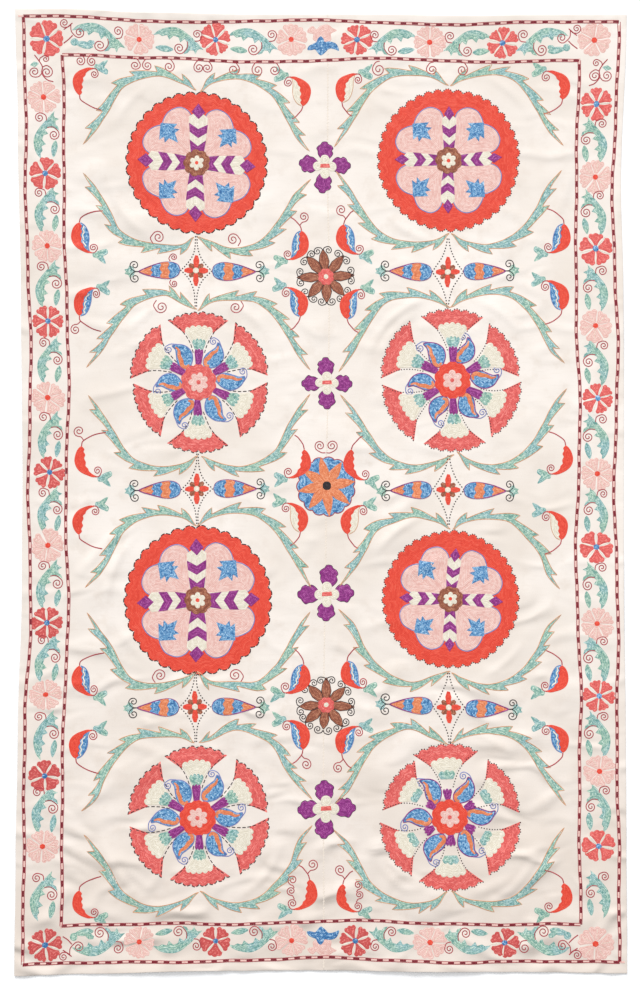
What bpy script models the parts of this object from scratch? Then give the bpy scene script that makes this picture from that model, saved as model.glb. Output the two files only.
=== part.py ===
"""A suzani: an embroidered silk cloth, lying flat and face up.

Two woven panels meet at a seam down the middle, as on the hand-made cloth, where the loom
gave only half of the width. Each panel is one closed sheet with its hem turned in. The cloth
rests flat on z = 0, apart from the soft folds that rise from it.

Units are metres. +Z is the embroidered face, +Y runs up the design to its top edge, and the
origin is the middle of the cloth on the surface it lies on.
"""

import math

import bpy

# Driving dimensions
CLOTH_WIDTH = 1.400
CLOTH_LENGTH = 2.210
CLOTH_THICKNESS = 0.002
SEAM_GAP = 0.0003
MM = 0.001

# The mesh of one panel: cells across and along
CELLS_ACROSS = 24
CELLS_ALONG = 72

# How far each side of the cloth is drawn in from its full rectangle. "along" is the share of
# the side from its left or lower end, "inset" is in millimetres.
EDGE_COLUMNS = ("along", "inset")
TOP_EDGE = ((0.00, 0), (0.08, 0), (0.22, 9), (0.38, 13), (0.60, 13), (0.74, 17), (0.88, 14), (1.00, 13))
BOTTOM_EDGE = ((0.00, 0), (0.12, 5), (0.30, 12), (0.50, 13), (0.70, 10), (0.84, 9), (1.00, 6))
LEFT_EDGE = ((0.00, 0), (0.12, 3), (0.26, 9), (0.40, 17), (0.54, 19), (0.70, 15), (0.88, 8), (1.00, 2))
RIGHT_EDGE = ((0.00, 0), (0.14, 2), (0.25, 3), (0.40, 8), (0.58, 7), (0.72, 9), (0.82, 14), (1.00, 1))

# Where the seam runs, from the lower edge to the upper one: x in millimetres.
SEAM_COLUMNS = ("along", "x")
SEAM_LINE = ((0.00, 7), (0.25, 5), (0.50, 10), (0.70, 18), (1.00, 16))

# The soft folds. Each is a low ridge centred at x, y, running at "turn" degrees from +X, and it
# dies out at half its length along and at its reach to each side. The last eight lift the hems.
# Sizes are in millimetres.
FOLD_COLUMNS = ("x", "y", "turn", "length", "reach", "height")
FOLDS = (
    (-505, 520, 0, 240, 62, 4.5),
    (-410, 620, -20, 260, 60, 3.5),
    (-480, 735, 6, 240, 66, 3.5),
    (-380, 935, 0, 280, 58, 2.5),
    (150, -112, 28, 240, 56, 5.0),
    (-500, -195, 56, 280, 66, 4.0),
    (-465, -830, -54, 300, 70, 5.0),
    (450, -845, 34, 330, 84, 6.0),
    (115, -640, -3, 240, 58, 4.0),
    (400, 405, -32, 230, 58, 3.5),
    (-455, -655, 24, 250, 64, 4.5),
    (230, -930, -14, 230, 56, 3.5),
    (560, -470, 10, 220, 66, 3.5),
    (-205, -455, 0, 280, 60, 2.5),
    (560, 770, 80, 240, 60, 3.0),
    (60, 130, 5, 240, 58, 2.5),
    (-330, -1100, 2, 420, 58, 4.5),
    (250, -1098, -1, 460, 58, 5.0),
    (-340, 1100, -2, 380, 58, 3.0),
    (330, 1092, 1, 420, 58, 3.5),
    (692, -250, 90, 420, 56, 4.0),
    (690, 380, 88, 340, 56, 3.0),
    (-690, -560, 90, 360, 56, 4.0),
    (-684, 160, 90, 340, 56, 3.0),
)


def row_of(columns, values):
    """One row of a table as a dict of its named columns."""
    return dict(zip(columns, values))


def smooth_table(columns, table, share):
    """The measure in a table at that share of the way along, eased between its rows."""
    rows = [row_of(columns, values) for values in table]
    measure = columns[1]
    for before, after in zip(rows, rows[1:]):
        if share <= after["along"]:
            part = (share - before["along"]) / (after["along"] - before["along"])
            eased = 0.5 - 0.5 * math.cos(math.pi * max(part, 0.0))
            return (before[measure] + (after[measure] - before[measure]) * eased) * MM
    return rows[-1][measure] * MM


def lie_of_cloth(across, along):
    """Where a point of the full rectangle comes to lie once the sides are drawn in."""
    to_right = across / CLOTH_WIDTH + 0.5
    to_top = along / CLOTH_LENGTH + 0.5
    x = across + (1 - to_right) ** 2 * smooth_table(EDGE_COLUMNS, LEFT_EDGE, to_top)
    x -= to_right**2 * smooth_table(EDGE_COLUMNS, RIGHT_EDGE, to_top)
    y = along + (1 - to_top) ** 2 * smooth_table(EDGE_COLUMNS, BOTTOM_EDGE, to_right)
    y -= to_top**2 * smooth_table(EDGE_COLUMNS, TOP_EDGE, to_right)
    return x, y


def fade(distance, reach):
    """1 on the crest of a fold and 0 at its reach, with no kink at either."""
    if abs(distance) >= reach:
        return 0.0
    return 0.5 + 0.5 * math.cos(math.pi * distance / reach)


def fold_height(x, y):
    """How far the folds lift the underside of the cloth off the surface at a point."""
    height = 0.0
    for values in FOLDS:
        fold = row_of(FOLD_COLUMNS, values)
        turn = math.radians(fold["turn"])
        dx = x - fold["x"] * MM
        dy = y - fold["y"] * MM
        along = dx * math.cos(turn) + dy * math.sin(turn)
        aside = dy * math.cos(turn) - dx * math.sin(turn)
        lift = fade(along, fold["length"] * MM / 2) * fade(aside, fold["reach"] * MM)
        height += lift * fold["height"] * MM
    return height


def silk_cloth():
    """The undyed ivory silk of both panels."""
    material = bpy.data.materials.new("ivory_silk")
    material.use_nodes = True
    shader = material.node_tree.nodes["Principled BSDF"]
    shader.inputs["Base Color"].default_value = (0.90, 0.85, 0.77, 1.0)
    shader.inputs["Roughness"].default_value = 0.6
    shader.inputs["Metallic"].default_value = 0.0
    return material


def panel(name, side, material, collection):
    """One panel, from its outer hem to the seam. side is -1 for the left and 1 for the right."""
    bpy.ops.mesh.primitive_grid_add(x_subdivisions=CELLS_ACROSS, y_subdivisions=CELLS_ALONG, size=2)
    sheet = bpy.context.object
    sheet.name = name
    sheet.data.name = name
    for vertex in sheet.data.vertices:
        to_top = (vertex.co.y + 1) / 2
        from_left = (vertex.co.x + 1) / 2
        seam = smooth_table(SEAM_COLUMNS, SEAM_LINE, to_top) + side * SEAM_GAP / 2
        outer = side * CLOTH_WIDTH / 2
        left, right = min(seam, outer), max(seam, outer)
        across = left + (right - left) * from_left
        x, y = lie_of_cloth(across, (to_top - 0.5) * CLOTH_LENGTH)
        vertex.co = (x, y, fold_height(x, y))
    body = sheet.modifiers.new("cloth_thickness", "SOLIDIFY")
    body.thickness = CLOTH_THICKNESS
    body.offset = 1
    sheet.data.materials.append(material)
    for other in sheet.users_collection:
        other.objects.unlink(sheet)
    collection.objects.link(sheet)
    return sheet


def main():
    for old in list(bpy.data.objects):
        bpy.data.objects.remove(old)
    collection = bpy.data.collections.new("suzani_embroidered_textile")
    bpy.context.scene.collection.children.link(collection)
    material = silk_cloth()
    panel("panel_left", -1, material, collection)
    panel("panel_right", 1, material, collection)


main()
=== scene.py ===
# %% [markdown]
# # A suzani, laid out flat
#
# A suzani is a large embroidered cloth from Central Asia. This one is ivory silk satin, sewn
# from two loom widths and covered with silk chain stitch: eight big rosettes in leaf wreaths,
# pepper-shaped pods, small flowers down the middle, and a border of flowers between two
# ladder lines.
#
# The lesson goes the way the maker went. First comes the cloth, then the drawing of each
# motif in flat shapes, then the stitching that turns every shape into a raised patch of
# thread, and last the silk finishes, the light and the camera.

# %% Tools and the frame
import math

import bpy
import numpy as np
from mathutils.geometry import delaunay_2d_cdt
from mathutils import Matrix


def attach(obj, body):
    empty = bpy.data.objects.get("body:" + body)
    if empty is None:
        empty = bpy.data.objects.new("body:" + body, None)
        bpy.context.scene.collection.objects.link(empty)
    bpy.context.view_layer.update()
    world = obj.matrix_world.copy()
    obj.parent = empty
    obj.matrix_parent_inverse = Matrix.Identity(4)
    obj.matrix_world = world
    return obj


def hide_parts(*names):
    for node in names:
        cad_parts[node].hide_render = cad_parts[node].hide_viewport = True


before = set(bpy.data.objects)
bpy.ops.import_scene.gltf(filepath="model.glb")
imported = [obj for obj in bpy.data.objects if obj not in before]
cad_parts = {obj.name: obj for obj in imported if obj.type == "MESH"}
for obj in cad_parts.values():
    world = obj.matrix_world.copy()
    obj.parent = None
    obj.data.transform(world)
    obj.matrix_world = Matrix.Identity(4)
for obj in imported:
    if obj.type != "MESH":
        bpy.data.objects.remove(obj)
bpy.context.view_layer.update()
MM = 0.001

# %% [markdown]
# ## How the cloth lies
#
# The cloth was cut as a rectangle, but hand-woven silk never lies as one. Its sides are drawn
# in a little by the stitching, and soft folds rise from the surface. Everything on it follows,
# so the drawing is made on the flat rectangle, in millimetres, and one function then says
# where each point comes to lie. The folds and sides are the same as those of the plain solid.

# %% The size of the cloth and its drawn-in sides
CLOTH_WIDTH = 1400
CLOTH_LENGTH = 2210
SEAM_GAP = 0.3

# Each row is a share of the way along the edge, and how far the edge is drawn in there. The seam's
# rows are a share of the way up, and how far the seam lies to the right of the middle.
TOP_EDGE = ((0.00, 0), (0.08, 0), (0.22, 9), (0.38, 13), (0.60, 13), (0.74, 17), (0.88, 14), (1.00, 13))
BOTTOM_EDGE = ((0.00, 0), (0.12, 5), (0.30, 12), (0.50, 13), (0.70, 10), (0.84, 9), (1.00, 6))
LEFT_EDGE = ((0.00, 0), (0.12, 3), (0.26, 9), (0.40, 17), (0.54, 19), (0.70, 15), (0.88, 8), (1.00, 2))
RIGHT_EDGE = ((0.00, 0), (0.14, 2), (0.25, 3), (0.40, 8), (0.58, 7), (0.72, 9), (0.82, 14), (1.00, 1))
SEAM_LINE = ((0.00, 7), (0.25, 5), (0.50, 10), (0.70, 18), (1.00, 16))


def eased(table, share):
    """The measure in a table at each share of the way along, eased between its rows."""
    along, measure = (np.array(column, float) for column in zip(*table))
    row = np.clip(np.searchsorted(along, share, side="right") - 1, 0, len(along) - 2)
    part = np.clip((share - along[row]) / (along[row + 1] - along[row]), 0, 1)
    return measure[row] + (measure[row + 1] - measure[row]) * (0.5 - 0.5 * np.cos(np.pi * part))


def lie(x, y):
    """Where points of the flat cloth come to lie, once its sides are drawn in."""
    to_right = x / CLOTH_WIDTH + 0.5
    to_top = y / CLOTH_LENGTH + 0.5
    x = x + (1 - to_right) ** 2 * eased(LEFT_EDGE, to_top) - to_right**2 * eased(RIGHT_EDGE, to_top)
    y = y + (1 - to_top) ** 2 * eased(BOTTOM_EDGE, to_right) - to_top**2 * eased(TOP_EDGE, to_right)
    return x, y


# %% The folds, the same as the solid's, and the finer creases between them
# A ridge has its middle, the turn of its crest, its length, its reach to each side and its height.
FOLDS = (
    (-505, 520, 0, 240, 62, 4.5),
    (-410, 620, -20, 260, 60, 3.5),
    (-480, 735, 6, 240, 66, 3.5),
    (-380, 935, 0, 280, 58, 2.5),
    (150, -112, 28, 240, 56, 5.0),
    (-500, -195, 56, 280, 66, 4.0),
    (-465, -830, -54, 300, 70, 5.0),
    (450, -845, 34, 330, 84, 6.0),
    (115, -640, -3, 240, 58, 4.0),
    (400, 405, -32, 230, 58, 3.5),
    (-455, -655, 24, 250, 64, 4.5),
    (230, -930, -14, 230, 56, 3.5),
    (560, -470, 10, 220, 66, 3.5),
    (-205, -455, 0, 280, 60, 2.5),
    (560, 770, 80, 240, 60, 3.0),
    (60, 130, 5, 240, 58, 2.5),
    (-330, -1100, 2, 420, 58, 4.5),
    (250, -1098, -1, 460, 58, 5.0),
    (-340, 1100, -2, 380, 58, 3.0),
    (330, 1092, 1, 420, 58, 3.5),
    (692, -250, 90, 420, 56, 4.0),
    (690, 380, 88, 340, 56, 3.0),
    (-690, -560, 90, 360, 56, 4.0),
    (-684, 160, 90, 340, 56, 3.0),
)
CREASES = (
    (-545, 455, 12, 150, 20, 1.6),
    (-500, 380, -8, 170, 18, 1.2),
    (-560, 560, 4, 130, 16, 1.3),
    (-520, 640, -6, 150, 18, 1.4),
    (-470, 700, 8, 140, 16, 1.0),
    (-430, 330, 22, 160, 18, 1.1),
    (-390, 150, 35, 150, 18, 0.9),
    (-560, -60, 62, 170, 20, 1.5),
    (-520, -150, 48, 190, 20, 1.8),
    (-455, -95, 30, 160, 18, 1.2),
    (-500, -330, 74, 150, 18, 1.2),
    (-560, -440, 12, 130, 18, 1.2),
    (-400, -585, -18, 190, 20, 1.3),
    (-340, -620, 8, 160, 18, 1.1),
    (-520, -700, 40, 170, 20, 1.5),
    (-540, -860, -48, 160, 18, 1.6),
    (-420, -930, -30, 180, 20, 1.3),
    (-380, -890, 52, 150, 18, 1.2),
    (-150, -880, -6, 170, 20, 1.2),
    (60, -560, 4, 160, 18, 1.2),
    (150, -470, -24, 150, 18, 1.0),
    (180, -40, 32, 170, 20, 1.5),
    (235, -170, 26, 150, 18, 1.3),
    (140, -300, 12, 150, 18, 1.0),
    (90, 100, 3, 150, 16, 0.9),
    (120, 330, -10, 150, 18, 0.8),
    (470, 470, -28, 150, 18, 1.1),
    (520, 330, 16, 130, 18, 0.9),
    (560, 690, 72, 160, 18, 1.0),
    (430, 640, -20, 150, 18, 0.8),
    (150, 880, -34, 150, 18, 0.9),
    (-60, 640, 10, 150, 18, 0.8),
    (540, -330, 20, 150, 18, 1.1),
    (470, -560, -14, 160, 18, 1.2),
    (520, -700, 34, 170, 20, 1.3),
    (390, -900, 22, 190, 20, 1.6),
    (500, -870, 40, 180, 20, 1.7),
    (200, -900, -8, 160, 18, 1.2),
    (60, -900, 12, 150, 18, 1.1),
)
# A ring has its centre and radius, the turn of its middle, the turn from there to each of its ends,
# and its reach and height.
RINGS = (
    (298, 254, 198, 135, 40, 14, 1.7),
    (298, 254, 172, 140, 30, 13, 1.3),
    (298, 254, 192, 52, 28, 14, 1.5),
    (298, 759, 206, 48, 28, 14, 1.5),
    (298, 759, 190, 240, 28, 13, 1.4),
    (-287, 254, 196, 50, 26, 14, 1.3),
    (-287, 254, 190, 128, 26, 13, 1.1),
    (-287, -247, 200, 160, 36, 15, 1.9),
    (-287, -247, 180, 212, 24, 13, 1.3),
    (298, -247, 202, 128, 28, 15, 1.9),
    (298, -247, 188, -48, 24, 13, 1.3),
    (-287, -744, 216, 215, 32, 17, 2.5),
    (-287, -744, 192, 222, 24, 13, 1.6),
    (-287, -744, 206, -40, 28, 15, 1.8),
    (298, -744, 212, -44, 30, 16, 2.2),
    (298, -744, 194, 225, 24, 13, 1.5),
    (298, -744, 200, 60, 22, 13, 1.3),
    (-287, 759, 202, 215, 32, 15, 1.7),
    (-287, 759, 200, 140, 26, 14, 1.2),
)
WAVE_TURNS = (4, -9, 17, 82, -71, 38, -33, 96)
WAVE_LENGTHS = (47, 63, 88, 105, 74, 132, 58, 190)
PUCKER_HEIGHT = 0.5
PULL = 1.5
PULLED_TO = 800
CREASE_RISE = 2.0
print(len(FOLDS), "folds and", len(CREASES) + len(RINGS), "creases")


# %% How high the cloth lies at each point
def fade(distance, reach):
    """1 on the crest of a ridge and 0 at its reach, with no kink at either."""
    return 0.5 + 0.5 * np.cos(np.pi * np.clip(np.abs(distance) / reach, 0, 1))


def ridges(table, x, y):
    """The summed height of a table's ridges at each point."""
    height = np.zeros_like(x)
    for middle_x, middle_y, turn, length, reach, rise in table:
        dx, dy = x - middle_x, y - middle_y
        cos, sin = math.cos(math.radians(turn)), math.sin(math.radians(turn))
        height += rise * fade(dx * cos + dy * sin, length / 2) * fade(dy * cos - dx * sin, reach)
    return height


def rings(x, y):
    """The summed height of the creases that run around inside the wreaths."""
    height = np.zeros_like(x)
    for centre_x, centre_y, radius, turn, half_turn, reach, rise in RINGS:
        away = x - centre_x + 1j * (y - centre_y)
        along = np.degrees(np.angle(away * np.exp(-1j * math.radians(turn))))
        height += rise * fade(along, half_turn) * fade(np.abs(away) - radius, reach)
    return height


def puckers(x, y):
    """A gentle unevenness all over, as silk has where stitching draws it, stronger lower down."""
    total = np.zeros_like(x)
    for number, (turn, length) in enumerate(zip(WAVE_TURNS, WAVE_LENGTHS)):
        way = x * math.cos(math.radians(turn)) + y * math.sin(math.radians(turn))
        bend = 14 * np.sin((x - y) / 170 + number)
        total += np.sin(2 * np.pi * (way + bend) / length + 1.7 * number)
    towards_hem = fade(np.clip(y + CLOTH_LENGTH / 2, 0, PULLED_TO), PULLED_TO)
    return PUCKER_HEIGHT * (1 + PULL * towards_hem) * (1.5 + total / len(WAVE_TURNS) * 1.6)


def underside(x, y):
    """The height of the underside of the cloth, in millimetres, where it lies."""
    return ridges(FOLDS, x, y) + CREASE_RISE * (ridges(CREASES, x, y) + rings(x, y)) + puckers(x, y)


highest = underside(*np.meshgrid(np.linspace(-700, 700, 141), np.linspace(-1105, 1105, 222))).max()
print("the cloth rises up to", round(float(highest), 1), "mm")

# %% [markdown]
# ## The silk
#
# Each panel starts as a grid. Its rows are close together at the hem and the seam, where the
# cloth is turned in and rounds over, and about 7 mm apart elsewhere, fine enough for the
# creases. Solidify gives it its two sides. The hem is two layers thick, so its top is raised.

# %% A panel of silk
SILK = 1.1
HEM_LAYER = 0.5
HEM_WIDTH = 15
HEM_ROWS = (0, 0.7, 2, 5, 9, 13, 17, 22)
SEAM_ROWS = (0, 0.9, 2.4, 5)
CELL = 6.8


def hem_distance(x, y):
    """How far flat points are from the nearest outer edge."""
    return np.minimum(CLOTH_WIDTH / 2 - np.abs(x), CLOTH_LENGTH / 2 - np.abs(y))


def thickness(x, y, from_seam=np.inf):
    """The thickness of the silk: rounded at its edges, and double in the hem."""
    edge = hem_distance(x, y)
    hem = HEM_LAYER * (0.5 - 0.5 * np.tanh((edge - HEM_WIDTH) / 1.2))
    rounding = 1 - 0.45 * np.exp(-edge / 0.8)
    groove = 1 - 0.2 * np.exp(-from_seam / 1.3)
    return (SILK + hem) * rounding * groove


def spread_rows(start, end, first_rows, last_rows):
    """Places of the grid rows between two edges, with given rows close to each of them."""
    low, high = start + first_rows[-1], end - last_rows[-1]
    cells = round((high - low) / CELL)
    middle = np.linspace(low, high, cells + 1)[1:-1]
    return np.concatenate([start + np.array(first_rows), middle, (end - np.array(last_rows))[::-1]])


def silk_panel(name, side):
    """One panel, from its outer hem to the seam. side is -1 for the left and 1 for the right."""
    up = spread_rows(-CLOTH_LENGTH / 2, CLOTH_LENGTH / 2, HEM_ROWS, HEM_ROWS)
    across = spread_rows(0, CLOTH_WIDTH / 2, SEAM_ROWS, HEM_ROWS) / (CLOTH_WIDTH / 2)
    bpy.ops.object.select_all(action="DESELECT")
    bpy.ops.mesh.primitive_grid_add(x_subdivisions=len(across) - 1, y_subdivisions=len(up) - 1, size=2)
    panel = bpy.context.object
    panel.name = name
    count = len(panel.data.vertices)
    points = np.empty(count * 3)
    panel.data.vertices.foreach_get("co", points)
    points = points.reshape(-1, 3)
    column = np.rint((points[:, 0] + 1) / 2 * (len(across) - 1)).astype(int)
    row = np.rint((points[:, 1] + 1) / 2 * (len(up) - 1)).astype(int)
    y = up[row]
    seam = eased(SEAM_LINE, y / CLOTH_LENGTH + 0.5) + side * SEAM_GAP / 2
    share = across[column] if side > 0 else across[len(across) - 1 - column]
    x = seam + (side * CLOTH_WIDTH / 2 - seam) * share
    lying_x, lying_y = lie(x, y)
    low = underside(lying_x, lying_y)
    flat = np.column_stack([lying_x, lying_y, low]) * MM
    panel.data.vertices.foreach_set("co", flat.ravel())
    bpy.ops.object.modifier_add(type="SOLIDIFY")
    panel.modifiers["Solidify"].thickness = SILK * MM
    panel.modifiers["Solidify"].offset = 1
    bpy.ops.object.modifier_apply(modifier="Solidify")
    both = np.empty(len(panel.data.vertices) * 3)
    panel.data.vertices.foreach_get("co", both)
    both = both.reshape(-1, 3)
    both[:] = np.tile(flat, (2, 1))
    both[count:, 2] += thickness(x, y, np.abs(x - seam)) * MM
    panel.data.vertices.foreach_set("co", both.ravel())
    bpy.ops.object.shade_smooth()
    print(name, len(panel.data.polygons), "faces")
    return panel


panel_left = silk_panel("silk_panel_left", -1)
panel_right = silk_panel("silk_panel_right", 1)

# %% [markdown]
# ## A way of drawing
#
# A design like this is drawn on the cloth by hand before it is stitched, one motif after
# another, so no two are quite alike. Here a flat point is one complex number, x + iy, in
# millimetres. Turning is then a multiplication, mirroring is a conjugate, and moving is a sum.
# A "place" is a function that takes points of a motif to the cloth, and places nest: a petal
# sits in a flower, and the flower on the cloth.

# %% Places and the two kinds of stitching
hand = np.random.default_rng(11)
patches = {}
lines = {}


def spin(degrees):
    """The number that turns a point by so many degrees when multiplied with it."""
    return np.exp(1j * np.radians(degrees))


def cloth(z):
    """The place that leaves points where they are."""
    return z


def put(place, centre=0, turn=0, size=1.0, flip=False):
    """A place within another: moved to centre, turned, sized and perhaps mirrored."""

    def there(z):
        z = np.asarray(z, complex)
        return place(centre + size * spin(turn) * (np.conj(z) if flip else z))

    return there


def by_hand(place, centre=0, turn=0, size=1.0, loose=1.0):
    """The same, a little off, as by hand."""
    slip = complex(*hand.normal(0, 0.9 * loose, 2))
    turn = turn + hand.normal(0, 1.6 * loose)
    return put(place, centre + slip, turn, size * hand.normal(1, 0.014 * loose))


def quarter(place, side, up):
    """The place mirrored into one of its four quarters, drawn for the upper right one."""
    return lambda z: place(side * np.real(z) + 1j * up * np.imag(z))


def fill(piece, place, outline, level=0):
    """A patch of solid stitching inside an outline."""
    patches.setdefault(piece, []).append((place(outline), level))


def line(piece, place, path, width=3.0, level=0):
    """A single row of stitching along a path."""
    lines.setdefault(piece, []).append((place(path), width, level))


def dashes(piece, place, path, dash, gap, width):
    """A row of single stitches along a path."""
    path = place(np.asarray(path, complex))
    along = np.concatenate([[0], np.cumsum(np.abs(np.diff(path)))])
    for start in np.arange(0, along[-1] - dash * 0.7, dash + gap):
        steps = np.linspace(start, min(start + dash, along[-1]), 2 + int(dash > 6))
        points = np.interp(steps, along, path.real) + 1j * np.interp(steps, along, path.imag)
        line(piece, cloth, points, width)


# %% Curves that the motifs are drawn with
def curve_through(points, per_span=8, closed=False):
    """A smooth curve through points, as a draughtsman's free hand would join them."""
    p = np.asarray(points, complex)
    before = p[-1] if closed else 2 * p[0] - p[1]
    after = [p[0], p[1]] if closed else [2 * p[-1] - p[-2]]
    p = np.concatenate([[before], p, after])
    t = np.linspace(0, 1, per_span, endpoint=False)
    spans = []
    for a, b, c, d in zip(p, p[1:], p[2:], p[3:]):
        square, cube = 2 * a - 5 * b + 4 * c - d, 3 * b - a - 3 * c + d
        spans.append(0.5 * (2 * b + (c - a) * t + square * t**2 + cube * t**3))
    if not closed:
        spans.append([p[-2]])
    return np.concatenate(spans)


def scallops(radius, count, depth, steps=6):
    """A round outline of so many bumps."""
    a = np.linspace(0, 2 * np.pi, count * steps, endpoint=False)
    return (radius - depth + depth * np.abs(np.sin(count * a / 2)) ** 0.8) * np.exp(1j * a)


def curl(reach, turns):
    """A spiral that starts at 0, heads along +x and winds in to its left."""
    t = np.linspace(0, 1, int(16 * turns))
    return 1j * reach - 1j * reach * (1 - 0.86 * t) * np.exp(2j * np.pi * turns * t)


def tendril(piece, place, points, reach, turns, left, width=2.6):
    """A thin stem through points that ends in a spiral."""
    stem = curve_through(points, 6)
    heading = stem[-1] - stem[-2]
    end = curl(reach, turns) if left else np.conj(curl(reach, turns))
    path = np.concatenate([stem[:-1], stem[-1] + heading / abs(heading) * end])
    line(piece, place, path, width)


# %% Outlines of leaves and petals
def leaf(spine, widths, teeth=(), tooth=0.0, hook=0.0):
    """The outline of a long leaf about a spine, with saw teeth on its left side.

    teeth are places along the spine, from 0 to 1. Each tooth swells up to its tip, which
    hooks forward, and is cut back sharply behind it.
    """
    middle = curve_through(spine, 10)
    share = np.linspace(0, 1, len(middle))
    fine = np.unique(np.concatenate([np.linspace(0, 1, 41), np.array(teeth), np.array(teeth) + 0.012]))
    centre = np.interp(fine, share, middle.real) + 1j * np.interp(fine, share, middle.imag)
    heading = np.gradient(centre, fine)
    heading = heading / np.abs(heading)
    half = np.interp(fine, np.linspace(0, 1, len(widths)), widths) / 2
    swell = np.zeros_like(fine)
    start = 0.0
    for tip in teeth:
        rising = np.clip((fine - start) / (tip - start), 0, 1)
        swell = np.maximum(swell, np.where((fine <= tip) & (fine > start), rising**1.7, 0))
        start = tip
    toothed = centre + 1j * heading * (half + tooth * swell * np.minimum(1, half / 4 + 0.3))
    toothed = toothed + heading * hook * swell**2
    plain = centre - 1j * heading * half
    return np.concatenate([toothed, plain[-2:0:-1]])


def wedge(half_angle, inner, outer, gap, bumps, depth, corner):
    """A petal of a round flower: a wedge with a scalloped outer edge, pointing along +x."""
    half = math.radians(half_angle)
    r = np.linspace(inner, outer * (1 - corner), 5)
    open_by = gap / 2 * (0.45 + 0.8 * np.sin(np.pi * np.linspace(0, 0.9, 5)))
    side = r * np.exp(1j * (half - np.arcsin(np.clip(open_by / r, 0, 0.9))))
    last = np.angle(side[-1])
    a = np.linspace(last, -last, bumps * 6 + 1)
    round_off = 1 - corner * np.abs(a / last) ** 6
    bump = depth * np.abs(np.sin(bumps * np.pi * (a + last) / (2 * last)))
    edge = (outer * round_off - depth + bump) * np.exp(1j * a)
    return np.concatenate([side[:-1], edge, np.conj(side[:-1])[::-1]])


def fan_step(inner, outer, half_in, half_out, bumps, depth):
    """One step of a fan along +x, with a scalloped outer edge. The halves are in degrees."""
    near = inner * spin(np.array([half_in, -half_in]))
    a = np.linspace(-half_out, half_out, bumps * 6 + 1)
    scalloped = outer - depth + depth * np.abs(np.sin(bumps * np.pi * (a + half_out) / (2 * half_out))) ** 0.8
    scalloped = scalloped * (1 - 0.04 * np.abs(a / half_out) ** 3)
    return np.concatenate([near, scalloped * spin(a)])


# %% [markdown]
# ## The border
#
# Two ladder lines frame the border: maroon and pink stitches in turn, between two thin rose
# rows. Between them flowers alternate, red with a blue eye and pink with a red eye, and a
# teal acanthus leaf with spirals joins each to the next. On the long sides the leaves climb,
# and on the short sides they point to a blue tulip in the middle.

# %% Ladder lines
OUTER_LADDER = (-682, 682, -1080, 1087)
INNER_LADDER = (-594, 594, -994, 999)
RUNG = 13.5
RUNG_WIDTH = 5.2
RAIL_APART = 3.1
RAIL_WIDTH = 1.7
SWAY = 4.5
SWAY_LENGTH = 620


def ladder(left, right, low, high):
    """One ladder line around the cloth."""
    corners = [left + 1j * low, right + 1j * low, right + 1j * high, left + 1j * high]
    for start, end in zip(corners, corners[1:] + corners[:1]):
        way = (end - start) / abs(end - start)
        along = np.linspace(0, abs(end - start), int(abs(end - start) / 12))
        sway = SWAY * np.sin(2 * np.pi * along / SWAY_LENGTH + hand.uniform(0, 6))
        path = start + way * (along + 1j * sway * np.sin(np.pi * along / along[-1]))
        dashes("ladder_maroon", cloth, path, RUNG, RUNG, RUNG_WIDTH)
        between = path[0] + way * RUNG + (path - path[0]) * 0.999
        dashes("ladder_pink", cloth, between, RUNG, RUNG, RUNG_WIDTH)
        for side in (-1, 1):
            line("ladder_rose", cloth, path + side * 1j * way * RAIL_APART, RAIL_WIDTH)


ladder(*OUTER_LADDER)
ladder(*INNER_LADDER)


# %% Border flowers
FLOWERS_LOOSE = 1.5


def red_flower(place, size, petals):
    """Red wedge petals with pale gaps between them, and a blue eye."""
    place = by_hand(place, 0, hand.uniform(0, 72), size, FLOWERS_LOOSE)
    for number in range(petals):
        turn = 360 / petals * number + hand.normal(0, 2)
        outline = wedge(180 / petals, 6, 35.5 + hand.normal(0, 1), gap=4.8, bumps=3, depth=2.6, corner=0.10)
        fill("border_coral", put(place, 0, turn), outline)
        line("border_cream", put(place, 0, turn + 180 / petals), np.array([9, 20, 32]) + 0j, 2.0)
    fill("border_blue", place, scallops(6.5, 7, 0.8), 1)


def pink_flower(place, size, petals):
    """Pale pink petals with a fine toothed edge, parted by thin pale rows, and a red eye."""
    place = by_hand(place, 0, hand.uniform(0, 60), size, FLOWERS_LOOSE)
    for number in range(petals):
        turn = 360 / petals * number + hand.normal(0, 2)
        outline = wedge(180 / petals, 5, 36.5 + hand.normal(0, 1), gap=2.2, bumps=3, depth=3.2, corner=0.06)
        fill("border_pink", put(place, 0, turn), outline)
        line("border_cream", put(place, 0, turn), np.array([11, 20, 30]) + 0j, 1.3)
    fill("border_scarlet", place, scallops(6.0, 6, 0.8), 1)


# %% Acanthus leaves, corner sprigs and tulips
def acanthus(place):
    """A teal leaf that climbs along +x, its back to +y, with a leaflet and two spirals."""
    place = by_hand(place)
    back = curve_through([-62 + 8j, -48 + 20j, -28 + 27j, -8 + 28j, 10 + 21j, 27 + 8j, 44 - 7j, 61 - 24j], 5)
    crown = [50 - 22j, 45 - 26j, 41 - 36j, 36 - 27j, 27 - 27j, 22 - 34j, 12 - 37j, 19 - 20j]
    belly = [20 - 9j, 14 + 0j, 4 - 9j, -1 + 4j, -12 + 7j, -23 - 3j, -28 + 8j, -40 + 5j, -48 + 10j]
    fill("border_teal", place, np.concatenate([back, crown, belly]))
    leaflet = [-56 - 22j, -42 - 17j, -26 - 19j, -13 - 28j, -25 - 34j, -42 - 31j]
    fill("border_teal", place, curve_through(leaflet, 4, True))
    tendril("border_rose", place, [20 - 6j, 21 - 20j, 13 - 32j], 14, 1.8, False)
    tendril("border_rose", place, [38 - 4j, 50 - 1j, 55 + 9j], 12, 1.7, True)


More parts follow.
